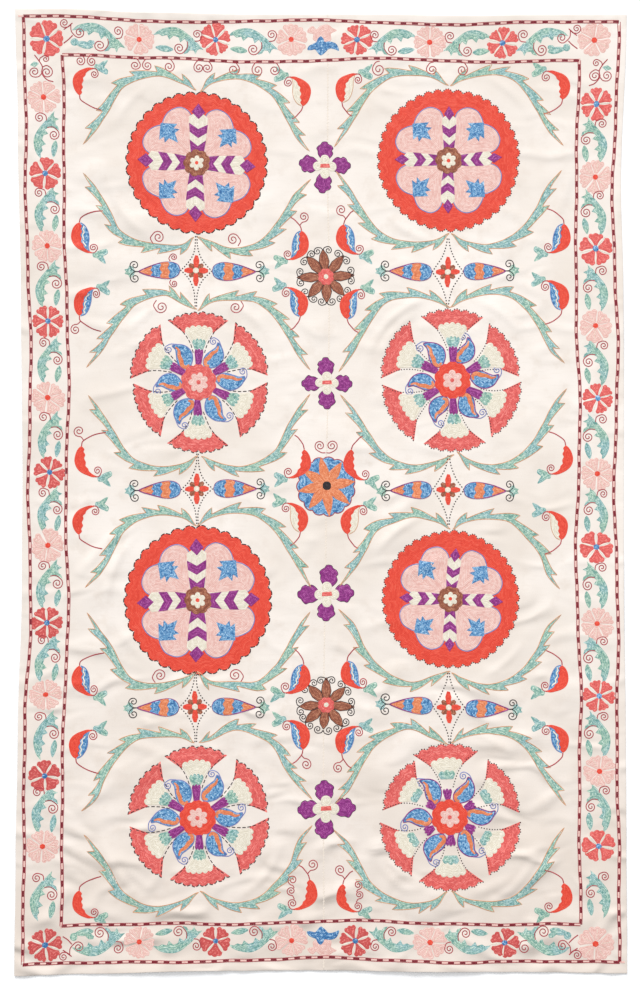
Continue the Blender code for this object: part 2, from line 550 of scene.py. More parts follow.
def corner_sprig(place):
    """Two spirals and two round leaflets, between a corner flower and its neighbour along +x."""
    line("border_rose", place, curve_through([39 - 19j, 50 - 11j, 60 - 1j]))
    line("border_rose", place, curve_through([40 + 12j, 49 + 18j, 60 + 27j]))
    tendril("border_rose", place, [56 + 23j, 50 + 18j, 42 + 17j], 10.5, 1.7, False)
    tendril("border_rose", place, [56 + 23j, 57 + 8j, 66 - 3j], 12.5, 1.7, True)
    fill("border_teal", put(place, 64 - 17j), scallops(9, 1, 0.5, 14))
    fill("border_teal", put(place, 100 - 18j, 20), leaf([-9, 0, 9], (6, 13, 6)))


def scroll(place):
    """Spirals on one wavy stem along +x, with a small leaf: it fills the short gap by a corner."""
    line("border_rose", place, curve_through([-36 - 24j, -30 - 8j, -14 + 4j, 2 + 2j, 18 + 10j, 34 + 22j]))
    tendril("border_rose", place, [-14 + 4j, -22 + 12j, -24 + 20j], 14, 1.7, False)
    tendril("border_rose", place, [2 + 2j, 6 - 8j, 2 - 16j], 15, 1.8, False)
    tendril("border_rose", place, [18 + 10j, 26 + 8j, 32 + 0j], 10, 1.5, False)
    fill("border_teal", put(place, 10 + 22j, 100), leaf([-11, 0, 12], (3, 15, 2)))


def tulip(place):
    """A blue three-lobed tulip with pale pink petals above it."""
    bud = [-37 + 20j, -32 + 29j, -23 + 33j, -15 + 26j, -7 + 33j, 4 + 37j, 15 + 36j, 23 + 29j]
    bud += [33 + 23j, 20 + 15j, 20 + 0j, -2 - 6j, -22 + 2j, -22 + 15j, -31 + 17j]
    fill("border_pink", place, curve_through(bud, 4, True))
    cup = [-37 - 22j, -33 - 13j, -23 - 8j, -15 - 4j, -11 + 5j, -4 + 10j, 2 + 4j, 5 - 3j, 15 - 2j]
    cup += [28 - 5j, 35 - 12j, 38 - 25j, 28 - 21j, 15 - 19j, 6 - 28j, -4 - 35j, -12 - 28j]
    cup += [-18 - 21j, -28 - 23j]
    fill("border_blue", place, curve_through(cup, 4, True), 1)


# %% The flowers, one after another around the border
SIDE_X = 638
CORNER_X = 628
TOP_Y = 1045
BOTTOM_Y = -1037
SIDE_FLOWERS = 13
LOWEST_BETWEEN = -812
HIGHEST_BETWEEN = 902
SHORT_FLOWERS = (-414, -240, -68, 80, 248, 420)
CORNER_LEAF_X = 508
LONG_SIZE, SHORT_SIZE = 1.05, 1.02
CORNER_SIZES = {-1: 1.19, 1: 1.07}


def flower_row(first, spots, sizes):
    """Flowers of two kinds in turn at the given spots, about half of them with a sixth petal."""
    for number, (spot, size) in enumerate(zip(spots, sizes)):
        draw = (red_flower, pink_flower)[(number + first) % 2]
        draw(put(cloth, spot), size, 5 + int(hand.random() < 0.55))


for side in (-1, 1):
    between = SIDE_FLOWERS - 2
    evenly = np.linspace(LOWEST_BETWEEN, HIGHEST_BETWEEN, between) + hand.normal(0, 3, between)
    heights = np.concatenate([[BOTTOM_Y], evenly, [TOP_Y - 4 + 5 * side]])
    across = np.array([CORNER_X] + [SIDE_X] * between + [CORNER_X])
    sizes = [CORNER_SIZES[side]] + [LONG_SIZE] * between + [CORNER_SIZES[side]]
    flower_row(int(side > 0), side * across + 1j * heights, sizes)
    scroll(put(cloth, side * SIDE_X + 1j * (heights[-1] + heights[-2]) / 2, 90, 0.9, side > 0))
    for low, high in zip(heights[:-2], heights[1:]):
        middle = side * (SIDE_X + 1) + 1j * (low + high) / 2
        acanthus(put(cloth, middle, 90, 0.9, side > 0))
for y, up in ((TOP_Y, 1), (BOTTOM_Y, -1)):
    spots = np.array(SHORT_FLOWERS) + 1j * y
    flower_row(1, spots, [SHORT_SIZE] * len(spots))
    tulip(put(cloth, 5 + 1j * y, 0, 0.97, up < 0))
    for first, second in zip(spots[:2], spots[1:3]):
        acanthus(put(cloth, (first + second) / 2, 0, 0.92, up < 0))
    for first, second in zip(spots[3:5], spots[4:]):
        acanthus(put(cloth, (first + second) / 2, 180, 0.92, up > 0))
    for side in (-1, 1):
        turn, flip = (0 if side < 0 else 180), side == up
        corner_sprig(put(cloth, side * CORNER_X + 1j * y, turn, 1.0, flip))
        acanthus(put(cloth, side * CORNER_LEAF_X + 1j * y, turn, 1.0, flip))
print("border:", sum(len(p) for p in patches.values()), "patches")

# %% [markdown]
# ## The rosettes
#
# The eight rosettes come in two kinds. One is a scarlet scalloped disc with a pink quatrefoil,
# a purple and cream cross and blue leaves. The other is open: six coral fans around a small
# flower, with a paisley between each two. Each is drawn about 0 with a radius of about
# 165 mm, and rows of the two kinds alternate down the cloth.

# %% The scarlet rosette
# The left column is edged with dashes and the right one with dots. Each pair below is for the left
# column and the right one. A stitch is its length, the gap after it and its width.
DISC = 168
DISC_SIZES = (1.01, 0.96)
INNER_SIZES = (0.96, 0.93)
RIM_BUMPS = (35, 42)
RIM_STITCHES = ((11, 3, 3.0), (2.6, 3.2, 3.0))
CROSS_STRETCHES = ((1.07, 1.3), (1.0, 1.0))
CHEVRONS = (
    (20 - 12j, 20 + 12j, 52 + 15.5j, 38, 52 - 15.5j),
    (56, 69 + 16.5j, 89 + 17.5j, 77, 89 - 17.5j, 69 - 16.5j),
    (99, 116 + 13j, 136, 116 - 13j),
)
LOBE_EDGE = [104 + 13j, 124 + 24j, 133 + 46j, 124 + 70j, 104 + 84j, 82 + 87j]


def scarlet_rosette(place, column):
    """A scarlet disc with a pink quatrefoil, a cross of chevrons and blue leaves."""
    rim = scallops(DISC, RIM_BUMPS[column], 8, 5)
    fill("rosette_scarlet", place, rim)
    dashes("rosette_black", place, np.append(rim, rim[0]) * 1.004, *RIM_STITCHES[column])
    for turn in (0, 90, 180, 270):
        arm = put(place, 0, turn + hand.normal(0, 1), INNER_SIZES[column])
        for flip in (False, True):
            lobe = put(arm, 0, 0, 1.0, flip)
            outline = curve_through([8 + 10j, 60 + 14j] + LOBE_EDGE + [42 + 50j], 6, True)
            fill("rosette_pink", lobe, outline, 1)
            line("rosette_slate", lobe, curve_through(LOBE_EDGE + [76 + 76j], 6), 2.8, 1)
        half = [0 + 0j, 12 + 12j, 24 + 24j, 26 + 13j, 36 + 20j, 35 + 8j]
        notched = np.array(half + [53 + 0j] + [np.conj(point) for point in half[:0:-1]])
        fill("rosette_blue", put(arm, 92 + 92j, 225 + hand.normal(0, 4), 1.2), notched, 2)
        cross = quarter(arm, *CROSS_STRETCHES[column])
        cream = [10 - 13j, 10 + 13j, 60 + 16j, 104 + 18j, 112 + 9j, 118, 112 - 9j, 104 - 18j, 60 - 16j]
        fill("rosette_cream", cross, np.array(cream), 2)
        for chevron in CHEVRONS:
            fill("rosette_purple", cross, np.array(chevron), 3)
    fill("rosette_brown", place, scallops(32, 9, 3.5), 4)
    fill("rosette_cream", place, scallops(18, 6, 6), 5)
    fill("rosette_scarlet", place, scallops(4.5, 5, 0.5), 6)


# %% The rosette of fans
FAN_REACH = 162
FAN_HALF = 26.5
FAN_STITCHES = ((8, 4, 2.5), (2.6, 3.6, 2.8))
PAISLEY_REACH = 160
# Each step is a colour, its inner and outer reach as shares of the fan's, its half widths there in
# degrees, and the bumps of its edge.
LONG_STEPS = (
    ("cream", 0.56, 0.82, 9.5, 15.5, 5),
    ("teal", 0.44, 0.62, 6.5, 10.0, 4),
    ("purple", 0.24, 0.475, 9.5, 8.5, 3),
)
SHORT_STEPS = (
    ("cream", 0.60, 0.82, 10.0, 16.5, 5),
    ("teal", 0.53, 0.645, 9.0, 11.0, 3),
    ("purple", 0.25, 0.40, 8.0, 10.5, 3),
)


def fan(place, reach, column, short):
    """One coral fan with its cream, teal and purple steps down to the middle, along +x."""
    a = np.linspace(FAN_HALF, -FAN_HALF, 73)
    bump = np.abs(np.cos(7 * np.pi * (a + FAN_HALF) / (2 * FAN_HALF))) ** 0.8
    outer = reach * (1 - 0.025 * np.abs(a / FAN_HALF) ** 3) - 6 * (1 - bump)
    b = np.linspace(-FAN_HALF * 0.62, FAN_HALF * 0.62, 37)
    dip = np.abs(np.sin(5 * np.pi * (b / FAN_HALF / 0.62 + 1) / 2))
    inner = reach * (0.785 - 0.15 * (b / FAN_HALF) ** 2) + 3.5 * dip
    rim = outer * spin(a)
    fill("rosette_coral", place, np.concatenate([rim, inner * spin(b)]))
    steps = SHORT_STEPS if short else LONG_STEPS
    for level, (colour, inner_share, outer_share, half_in, half_out, bumps) in enumerate(steps):
        step = fan_step(inner_share * reach, outer_share * reach, half_in, half_out, bumps, 4.5)
        fill(f"rosette_{colour}", place, step, 1 + level)
    for side in (-1, 1):
        r = np.linspace(0.42, 0.95, 9)
        edge = reach * r * spin(side * (10.5 + 15.5 * ((r - 0.3) / 0.67) ** 2))
        dashes("rosette_black", place, edge, *FAN_STITCHES[column])
    dashes("rosette_black", place, rim * 1.008, *FAN_STITCHES[column])


def paisley(place, edge):
    """A blue paisley with an orange wave, an edge and a curled tip, pointing along +x."""
    body = [40 + 1j, 46 - 12j, 57 - 22j, 71 - 26j, 86 - 22j, 97 - 12j, 103 + 1j, 91 + 1j, 79 + 7j]
    body = curve_through(body + [64 + 14j, 48 + 12j], 6, True)
    fill("rosette_blue", place, body)
    wave = leaf([46 - 5j, 45 + 5j, 54 + 9j, 64 + 5j, 76 + 2j, 86 - 4j, 98 - 3j], (4, 8, 9, 10, 8, 6, 3))
    fill("rosette_orange", place, wave, 1)
    middle = 72 - 5j
    rim = middle + (body - middle) * 1.03
    line(edge, place, np.append(rim, rim[0]), 2.7)
    tendril("rosette_slate", place, [100 - 10j, 109 + 1j, 111 + 11j], 9.5, 1.6, True)


def fan_rosette(place, column, short, middle):
    """Six fans and six paisleys around a small flower."""
    for number in range(6):
        fan(by_hand(place, 0, 30 + 60 * number), FAN_REACH + hand.normal(0, 2), column, short)
        edge = ("rosette_slate", "rosette_purple")[column]
        paisley(by_hand(place, 0, 60 * number + 5, FAN_REACH / PAISLEY_REACH), edge)
    fill(middle, place, scallops(0.26 * FAN_REACH, 10, 4), 3)
    fill("rosette_pink", place, scallops(0.145 * FAN_REACH, 7 - column, 7), 4)
    fill("rosette_coral", place, scallops(5, 5, 0.5), 5)


# %% [markdown]
# ## Wreaths and peppers
#
# Four serrated branches make the open wreath around a rosette. Each is one long leaf, filled
# with mottled teal and outlined in gold. It starts near the rosette's axis, swings round the
# quarter and ends in a point near its waist. A pepper on a thin rose stem hangs in each
# corner: a scarlet crescent, some with a blue or cream inner half.


# %% Wreath branches and their spirals
# The spirals that hang above the two uppermost wreaths, for each column and side: how far from the
# axis each one starts, the way it turns off (1 outward) and its reach.
HANGING = {
    (0, -1): ((70, -1, 13), (112, 1, 12), (148, -1, 12), (238, 1, 10.5), (274, -1, 11)),
    (0, 1): ((6, -1, 12), (16, 1, 12), (78, 1, 14), (138, -1, 14), (170, 1, 12)),
    (1, -1): ((36, 1, 13), (158, 1, 15)),
    (1, 1): ((26, 1, 13),),
}


def branch(place, curled, hanging, hung_at):
    """The branch of the upper right quarter, with its spirals inside it or above it."""
    loose = [complex(*hand.normal(0, 2.6, 2)) for _ in range(8)]
    spine = [3 + 167j, 34 + 187j, 88 + 198j, 138 + 188j, 178 + 158j, 207 + 112j, 231 + 66j, 260 + 28j]
    spine = [point + slip for point, slip in zip(spine, loose)]
    count = 6 + int(hand.random() < 0.5)
    teeth = np.linspace(0.14, 0.86, count) + hand.normal(0, 0.012, count)
    body = leaf(spine, (1.5, 7, 9.5, 11.5, 12.5, 12.5, 11, 8, 1), teeth, tooth=13.5, hook=11)
    fill("wreath_teal", place, body)
    line("wreath_gold", place, np.append(body, body[0]), 2.3)
    if curled:
        tendril("field_rose", place, [98 + 188j, 104 + 176j, 98 + 165j], 14, 1.7, False)
    for start, way, reach in hanging:
        top = start + 1j * hung_at
        points = [top, top + way * 8 - 2j, top + way * 14 - 10j]
        tendril("field_rose", place, points, reach, 1.7, way < 0)


# %% Peppers
PEPPER_SIZE = 0.9


def pepper(place, kind, spirals, stem):
    """A pepper that bulges to +x, with its leaf at the top and a stem at the bottom.

    The stem reaches a given way to -x. One spiral hangs on it, or none, or one and two more
    inside the bend of the pepper.
    """
    place = by_hand(place, 0, 0, PEPPER_SIZE, loose=1.6)
    stem = stem / PEPPER_SIZE
    outer = [-34 + 36j, -21 + 38j, -7 + 34j, 8 + 27j, 19 + 16j, 24 + 0j, 21 - 18j, 14 - 30j, 6 - 36j]
    waves = [6 - 36j, -1 - 28j, 1 - 22j, -3 - 14j, 0 - 6j, -4 + 3j, -3 + 11j, -9 + 17j, -12 + 24j]
    waves = curve_through(waves + [-21 + 31j, -34 + 36j], 4)
    fill("pepper_scarlet", place, np.concatenate([curve_through(outer, 5), waves[1:-1]]), 1)
    if kind != "plain":
        inner = curve_through([-26 + 34j, -22 + 20j, -22 + 2j, -18 - 16j, -9 - 30j, 3 - 36j], 6)
        fill(f"pepper_{kind}", place, np.concatenate([inner, [8 - 22j, 6 + 0j, -12 + 28j]]))
        line("field_slate" if kind == "blue" else "field_gold", place, inner, 1.6)
    if kind == "blue":
        line("pepper_cream", place, waves[3:-10] - 5 + 0.5j, 3.8)
    path = [6 - 36j, 3 - 47j, -0.25 * stem - 58j, -0.6 * stem - 66j, -stem - 71j]
    line("field_rose", place, curve_through(path))
    if spirals:
        tendril("field_rose", place, [2 - 50j, 8 - 57j, 16 - 59j], 13.5, 1.7, False)
    if spirals > 1:
        tendril("field_rose", place, [-30 + 12j, -34 + 4j, -40 + 2j], 11, 1.7, True)
        tendril("field_rose", place, [-30 - 16j, -33 - 22j, -38 - 24j], 12, 1.7, True)
    tendril("field_rose", place, [-28 + 37j, -38 + 35j, -43 + 27j], 10.5, 1.7, True)
    points = [0, 3 + 8j, 12 + 8j, 22 + 13j, 34 + 16j, 28 + 5j, 24 + 0j, 32 - 9j, 28 - 18j, 18 - 14j, 8 - 7j]
    fill("field_teal", put(quarter(place, -1, 1), 34 + 38j, 8, 1.1), curve_through(points, 3, True))


# %% [markdown]
# ## The small motifs
#
# Between one rosette and the next lies a small red flower in a diamond of dots, with a striped
# almond on each side. Down the middle of the cloth purple flowers alternate with brown stars,
# around one large blue and orange flower at the heart.


# %% The flower in its dotted diamond
DIAMOND_HALF = 82


def dotted_diamond(place, sharp):
    """Two dotted lines that part around a small four-petalled flower."""
    y = np.linspace(-DIAMOND_HALF, DIAMOND_HALF, 43)
    for side in (-1, 1):
        x = 1.8 + 35 * (1 - np.abs(y) / DIAMOND_HALF) ** sharp
        dashes("field_black", place, side * x + 1j * y, 3.0, 4.0, 3.2)
    for turn, reach in ((0, 28), (90, 36), (180, 28), (270, 36)):
        fill("field_scarlet", put(place, 0, turn), leaf([4, reach / 2, reach], (5, 11, 14, 6)), 1)
        fill("field_brown", put(place, 0, 45 + turn), leaf([3, 14, 22], (5, 14, 6)))
    fill("field_cream", place, scallops(7, 6, 0.5), 2)


# %% The striped almond
# Each stripe is its colour and how far from the diamond's middle it starts and ends. The stripes
# overlap, and the wavy end of each lies on the next.
STRIPES = (("blue", 37, 63), ("orange", 58, 83), ("blue", 79, 104), ("orange", 100, 134))
ALMOND_START, ALMOND_END = 37, 134


def almond_half(x):
    """Half the width of the almond at a distance from the diamond's middle."""
    share = np.clip((x - ALMOND_START) / (ALMOND_END - ALMOND_START), 0, 1)
    return 0.6 + 19.5 * np.sin(np.pi * share**0.62).clip(0) ** 0.75 * (1 - 0.3 * share**2)


def almond(place):
    """A striped almond with its point along +x, two dark curls and a leaf."""
    place = by_hand(place, 1)
    for number, (colour, start, end) in enumerate(STRIPES):
        x = np.linspace(start, end, 10)
        half = almond_half(x)
        upper = x + 1j * half
        lower = x[::-1] - 1j * half[::-1]
        wave = np.linspace(half[-1], -half[-1], 9)[1:-1]
        bulge = end + 2.5 * np.sin(np.linspace(0, 4 * np.pi, 9)[1:-1])
        closing = bulge + 1j * wave if end < ALMOND_END else []
        fill(f"field_{colour}", place, np.concatenate([upper, closing, lower]), len(STRIPES) - number)
    x = np.linspace(ALMOND_START, ALMOND_END, 34)
    rim = np.concatenate([x + 1j * almond_half(x), x[::-1] - 1j * almond_half(x)[::-1]])
    line("field_purple", place, np.append(rim, rim[0]), 2.6, 2)
    line("field_black", place, np.array([131, 136, 142]) + 0j)
    for flip in (False, True):
        tendril("field_black", put(place, 138, 0, 1.0, flip), [0, 6 + 1j, 12 + 5j], 11.5, 1.5, True)
    points = [0, 5 + 11j, 14 + 17j, 18 + 9j, 28 + 6j, 24 + 0j, 28 - 6j, 18 - 9j, 14 - 17j, 5 - 11j]
    fill("field_teal", put(place, 143, 0, 0.85), curve_through(points, 3, True))


# %% Flowers of the middle column
def purple_flower(place):
    """Four purple petals about a cream clover with a coral middle."""
    place = by_hand(place)
    for turn in (0, 90, 180, 270):
        petal = [16 - 6j, 24 - 16j, 32 - 20j, 39 - 17j, 44 - 20j, 51 - 16j, 54 - 9j, 60 - 5j]
        petal += [60 + 5j, 54 + 9j, 50 + 15j, 44 + 20j, 37 + 17j, 28 + 16j, 16 + 6j]
        outline = curve_through(petal, 3, True)
        leafed = put(place, 0, turn + hand.normal(0, 4), hand.normal(1.0, 0.03), hand.random() < 0.5)
        fill("field_purple", leafed, outline)
        line("field_black", leafed, np.append(outline, outline[0]), 1.2)
        fill("field_cream", put(place, 0, turn), 17 + scallops(11, 1, 0.5, 20), 1)
    fill("field_cream", place, scallops(10, 1, 0.5, 20), 1)
    fill("field_coral", place, np.array([-11 - 4j, -10 + 5j, 10 + 6j, 12 - 3j]), 2)


def brown_star(place):
    """Eight brown petals with dark curls at their tips, about a coral flower."""
    place = by_hand(place)
    for number in range(8):
        petal = put(place, 0, 45 * number + hand.normal(0, 3))
        outline = leaf([8, 34, 62 + hand.normal(0, 2.5)], (9, 17, 23, 17, 1))
        fill("field_brown", petal, outline)
        line("field_black", petal, outline, 1.5)
        for flip in (False, True):
            tendril("field_black", put(petal, 58, 0, 1.1, flip), [0, 5 + 3j, 7 + 9j], 8, 1.5, True, 2.5)
    fill("field_coral", place, scallops(19, 8, 3), 1)
    fill("field_cream", place, scallops(5.5, 6, 0.5), 2)


def heart_flower(place):
    """Eight orange petals on a blue scalloped disc, with a black eye."""
    disc = scallops(68, 15, 5)
    fill("field_blue", place, disc)
    line("field_rose", place, np.append(disc, disc[0]) * 1.01, 2.6)
    for number in range(8):
        petal = leaf([4, 34, 66 + hand.normal(0, 1.5)], (14, 21, 23, 15, 1))
        fill("field_orange", by_hand(place, 0, 45 * number + 10), petal, 1)
    fill("field_black", place, scallops(10.5, 4, 0.8), 2)


# %% All of the field
COLUMNS = (-287, 298)
ROWS = (759, 254, -247, -744)
BETWEEN = (511, 8, -495)
MIDDLE_X = 10
HEART_Y = 14
# The flowers of the middle column, by height, kind and size.
MIDDLE = (
    (752, purple_flower, 1.0),
    (500, brown_star, 1.0),
    (253, purple_flower, 1.0),
    (HEART_Y, heart_flower, 1.0),
    (-235, purple_flower, 1.05),
    (-492, brown_star, 1.0),
    (-733, purple_flower, 1.13),
)
# How far a pepper lies from its rosette's centre: towards the middle of the cloth, towards the
# border, and up or down. A pair is for the left column and the right one, here and below.
TO_MIDDLE = 236
TO_BORDER = (265, 253)
TO_ROW = 182
TO_TOP_ROW = (175, 165)
# How far out a pepper's stem meets the branch, and how high the spirals over a wreath start.
TO_BRANCH = 218
HUNG_AT = (236, 223)
DIAMOND_SHARP = (2.9, 1.9)
DIAMOND_SHIFT = -4
# The branches with a spiral inside them, by column, row and way up.
CURLED = ((0, 0, -1), (0, 1, 1), (0, 2, -1))
# How far some rosettes lie off their row, and the peppers in the four quarters of each wreath.
OFF_ROW = {(1, 0): 12j, (1, 1): 7 + 7j, (0, 3): 4 - 8j, (1, 3): -3 - 5j}
PEPPER_KINDS = {
    (0, 0): ("plain", "cream", "blue", "blue"),
    (1, 0): ("cream", "plain", "blue", "blue"),
    (0, 1): ("blue", "blue", "plain", "plain"),
    (1, 1): ("blue", "blue", "plain", "plain"),
    (0, 2): ("plain", "cream", "blue", "blue"),
    (1, 2): ("cream", "cream", "blue", "blue"),
    (0, 3): ("blue", "blue", "plain", "plain"),
    (1, 3): ("blue", "blue", "plain", "plain"),
}
# The spirals on a pepper's stem, for its column, row, side and way up. The rest have none.
STEM_SPIRALS = {(0, 0, 1, -1): 1, (1, 0, -1, -1): 1, (0, 1, -1, 1): 1, (0, 1, -1, -1): 1}
STEM_SPIRALS |= {(0, 3, 1, 1): 1, (1, 3, -1, 1): 1, (0, 3, 1, -1): 2, (1, 3, -1, -1): 2}
QUARTERS = ((-1, 1), (1, 1), (-1, -1), (1, -1))

# %% Drawing the field
for column, x in enumerate(COLUMNS):
    for row, y in enumerate(ROWS):
        spot = by_hand(cloth, x + 1j * y + OFF_ROW.get((column, row), 0), loose=0.8)
        if row % 2 == 0:
            scarlet_rosette(by_hand(spot, 0, 0, DISC_SIZES[column]), column)
        else:
            middle = "rosette_coral" if (column, row) == (0, 1) else "rosette_scarlet"
            fan_rosette(spot, column, (column, row) == (1, 3), middle)
        for (side, up), kind in zip(QUARTERS, PEPPER_KINDS[column, row]):
            uppermost = row == 0 and up > 0
            hanging = HANGING[column, side] if uppermost else ()
            branch(quarter(spot, side, up), (column, row, up) in CURLED, hanging, HUNG_AT[column])
            away = TO_MIDDLE if side * x < 0 else TO_BORDER[column]
            height = TO_TOP_ROW[column] if uppermost else TO_ROW
            corner = side * away + up * 1j * height + complex(*hand.normal(0, 2.5, 2))
            spirals = STEM_SPIRALS.get((column, row, side, up), 0)
            pepper(quarter(put(spot, corner), side, up), kind, spirals, away - TO_BRANCH)
    for y in BETWEEN:
        middle = put(cloth, x + DIAMOND_SHIFT + 1j * y)
        dotted_diamond(middle, DIAMOND_SHARP[column])
        for turn in (0, 180):
            almond(put(middle, 0, turn))
        if column == 0 and y == BETWEEN[0]:
            for up in (-1, 1):
                left = quarter(middle, -1, up)
                tendril("field_rose", left, [60 + 22j, 63 + 28j, 60 + 35j], 8.5, 1.7, True)
for y, draw, size in MIDDLE:
    draw(put(cloth, MIDDLE_X + 1j * y, 0, size))
for side in (-1, 1):
    pair = quarter(put(cloth, MIDDLE_X + 1j * HEART_Y), side, 1)
    tendril("field_rose", pair, [1 + 78j, 10 + 78j, 20 + 83j], 13, 1.8, True)
print(len(COLUMNS) * len(ROWS), "rosettes, each in four branches and four peppers")

# %% [markdown]
# ## The seam
#
# The two loom widths meet edge to edge, and ivory thread joins them: a thin row along the
# join, with small slanted stitches across it. A row of stitches could be a tube along a curve,
# but drawn like the rest it bends over the folds with them. It lies one level down, in the
# groove between the panels.

# %% The stitches of the seam
SEAM_STITCH = 7.5
SEAM_END = CLOTH_LENGTH / 2 - 5
SUNK = -1
up_seam = np.linspace(-SEAM_END, SEAM_END, 300)
line("seam_ivory", cloth, eased(SEAM_LINE, up_seam / CLOTH_LENGTH + 0.5) + 1j * up_seam, 2.2, SUNK)
for y in np.arange(4 - SEAM_END, SEAM_END - 4, SEAM_STITCH):
    middle = eased(SEAM_LINE, y / CLOTH_LENGTH + 0.5) + 1j * y
    line("seam_ivory", cloth, middle + np.array([-2.4 - 1j, 2.4 + 1j]), 1.4, SUNK)
counts = [sum(len(shapes) for shapes in drawn.values()) for drawn in (patches, lines)]
print("in all: {} patches and {} rows".format(*counts))


# %% [markdown]
# ## From drawing to stitching
#
# Chain stitch fills a shape with row inside row, each following the outline, and the thread
# lies raised on the cloth like a low cushion. The primitives have no such shape, and flat
# filled outlines would not bend over the folds. So each outline is filled with a net of
# triangles, with points inside it, by Blender's Delaunay routine. Every point is then laid on
# the cloth, and its distance from the outline gives it its height. That distance also goes
# into a UV map: across the rows is one direction of the map, along them the other.

# %% Helpers for laying shapes on the cloth
OUTLINE_STEP = 3.4
NET_STEP = 6.4
EDGE_HEIGHT = 0.16
CROWN = 0.16
LEVEL = 0.26
ROOT = 0.30
ROW_HEIGHT = 0.42
ROW_STEP = 8.4
ROW_CROWN = 0.33
SHARP_EDGE = 48


def wander(z):
    """The small unevenness of lines drawn by hand."""
    x, y = z.real, z.imag
    wide = np.sin(x / 31 + 1.3) * np.cos(y / 37) + 1j * np.cos(x / 34) * np.sin(y / 29 + 0.6)
    close = np.sin(x / 8.3 + y / 11) + 1j * np.cos(y / 7.9 - x / 12)
    return z + 1.3 * wide + 0.35 * close


def stepped(path, step, closed=False):
    """The same path with points added so that none are further apart than a step."""
    path = np.append(path, path[0]) if closed else path
    path = path[np.concatenate([[True], np.abs(np.diff(path)) > 1e-3])]
    counts = np.maximum(1, np.ceil(np.abs(np.diff(path)) / step)).astype(int)
    spans = [start + (end - start) * np.arange(n) / n for start, end, n in zip(path, path[1:], counts)]
    return np.concatenate(spans if closed else spans + [path[-1:]])


def on_cloth(z, height):
    """Flat points as laid on the cloth: height is in millimetres above its face."""
    x, y = lie(z.real, z.imag)
    face = underside(x, y) + thickness(z.real, z.imag)
    return np.column_stack([x, y, face + height]) * MM


def inside(points, outline):
    """Which points are within an outline, by counting the sides that each one is left of."""
    a, b = outline, np.roll(outline, -1)
    px, py = points.real[:, None], points.imag[:, None]
    spans = (a.imag > py) != (b.imag > py)
    rise = np.where(b.imag == a.imag, 1e-9, b.imag - a.imag)
    return (spans & (px < (b.real - a.real) * (py - a.imag) / rise + a.real)).sum(axis=1) % 2 == 1


def nearest(points, outline):
    """How far each point is from an outline, and how far along it the nearest spot is."""
    a = outline
    way = np.roll(outline, -1) - a
    length = np.maximum(np.abs(way), 1e-9)
    offset = points[:, None] - a
    share = np.clip((offset * np.conj(way)).real / length**2, 0, 1)
    away = np.abs(offset - share * way)
    best = away.argmin(axis=1)
    row = np.arange(len(points))
    start = np.concatenate([[0], np.cumsum(length)[:-1]])
    return away[row, best], start[best] + share[row, best] * length[best]


# %% A patch of solid stitching
def patch_mesh(outline, level):
    """The flat points, their heights, the triangles and the row map of one raised patch."""
    outline = stepped(wander(outline), OUTLINE_STEP, closed=True)
    low, high = outline.real.min() + 1j * outline.imag.min(), outline.real.max() + 1j * outline.imag.max()
    columns = np.arange(low.real, high.real, NET_STEP)
    rows = np.arange(low.imag, high.imag, NET_STEP * 0.87)
    net = columns[None, :] + 1j * rows[:, None]
    net = (net + NET_STEP / 2 * (np.arange(len(rows))[:, None] % 2)).ravel()
    net = net[inside(net, outline)] if len(net) else net
    if len(net):
        net = net[nearest(net, outline)[0] > NET_STEP * 0.42]
    points = np.concatenate([outline, net])
    wanted = [(p.real, p.imag) for p in points]
    ring = list(range(len(outline)))
    found = delaunay_2d_cdt(wanted, [], [ring], 1, 1e-4, False)
    flat = np.array([complex(*p) for p in found[0]])
    faces = np.array([f for f in found[2] if len(f) == 3])
    corners = flat[faces]
    faces = faces[inside(corners.mean(axis=1), outline)]
    corners = flat[faces]
    turned = ((corners[:, 1] - corners[:, 0]) * np.conj(corners[:, 2] - corners[:, 0])).imag > 0
    faces[turned] = faces[turned][:, ::-1]
    across, along = nearest(flat, outline)
    rise = EDGE_HEIGHT + CROWN * (1 - np.exp(-across / 2.2)) + LEVEL * level
    under = np.full(len(flat), -ROOT + LEVEL * max(level - 1, 0))
    sides = np.concatenate([faces[:, [0, 1]], faces[:, [1, 2]], faces[:, [2, 0]]])
    count = len(flat)
    key = sides[:, 0] * count + sides[:, 1]
    back = sides[:, 1] * count + sides[:, 0]
    rim = sides[~np.isin(key, back)]
    wall = np.concatenate([
        np.column_stack([rim[:, 1], rim[:, 0], rim[:, 0] + count]),
        np.column_stack([rim[:, 1], rim[:, 0] + count, rim[:, 1] + count]),
    ])
    triangles = np.concatenate([faces, faces[:, ::-1] + count, wall])
    rows_map = np.column_stack([along, across]) * MM
    return np.tile(flat, 2), np.concatenate([rise, under]), triangles, np.tile(rows_map, (2, 1))


